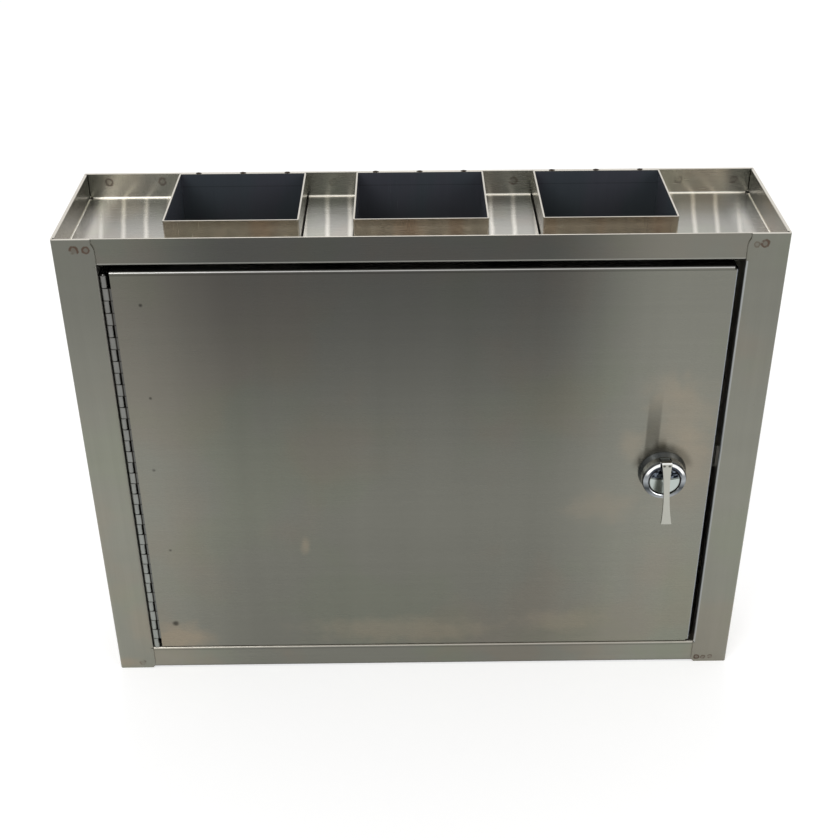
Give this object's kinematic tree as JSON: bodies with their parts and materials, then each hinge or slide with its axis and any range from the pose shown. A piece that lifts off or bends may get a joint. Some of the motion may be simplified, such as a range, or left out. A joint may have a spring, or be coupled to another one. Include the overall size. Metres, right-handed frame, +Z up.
{
  "type": "specimen drop box cabinet",
  "caption": "Brushed stainless drop box: dished top tray with open specimen chutes, inset door on a continuous hinge and a turn latch.",
  "frame": {"origin": "centre of the carcass's underside, midway between its sides and between the stiles' front face and the back panel's rear face", "axes": "+X to the right seen from the front, along the width; +Y to the back, towards the wall; +Z up"},
  "size_m": [0.66, 0.201, 0.5094],
  "materials": {
    "side_sheet": "brushed along its height",
    "back_sheet": "mill finish",
    "pan_sheet": "brushed along its width",
    "tray_sheet": "brushed along its width, hazy reflections",
    "chute_sheet": "brushed, heat tinted at the edges",
    "door_sheet": "brushed along its width, lightly scratched",
    "weld_metal": "dark oxidised weld bead",
    "hinge_steel": "plain rolled hinge strip",
    "pin_steel": "drawn wire",
    "keeper_steel": "plain bent angle",
    "latch_chrome": "polished chrome plate",
    "cap_chrome": "polished and dished",
    "lever_steel": "satin plated",
    "fixing_steel": "zinc plated"
  },
  "bodies": {
    "cabinet": {"left_side_panel": "side_sheet", "right_side_panel": "side_sheet", "back_panel": "back_sheet", "bottom_pan": "pan_sheet", "top_tray": "tray_sheet", "chute_left": "chute_sheet", "chute_center": "chute_sheet", "chute_right": "chute_sheet", "chute_tack_welds": "weld_metal", "keeper_angle": "keeper_steel", "hinge_frame_leaf": "hinge_steel", "hinge_pin": "pin_steel"},
    "door": {"door_panel": "door_sheet", "hinge_door_leaf": "hinge_steel", "latch_body": "latch_chrome", "latch_nut": "fixing_steel"},
    "latch": {"latch_knob": "latch_chrome", "knob_cap": "cap_chrome", "latch_lever": "lever_steel", "lever_pin": "pin_steel", "latch_cam": "fixing_steel", "cam_washer": "fixing_steel", "cam_screw": "fixing_steel"}
  },
  "joints": [
    {"name": "door_hinge", "type": "hinge", "parent": "cabinet", "child": "door", "pos_m": [-0.2882, -0.0735, 0.2526], "axis": [0, 0, -1], "range_deg": [0, 90]},
    {"name": "latch_turn", "type": "hinge", "parent": "door", "child": "latch", "pos_m": [0.237, -0.0785, 0.2526], "axis": [0, -1, 0], "range_deg": [0, 90]}
  ]
}
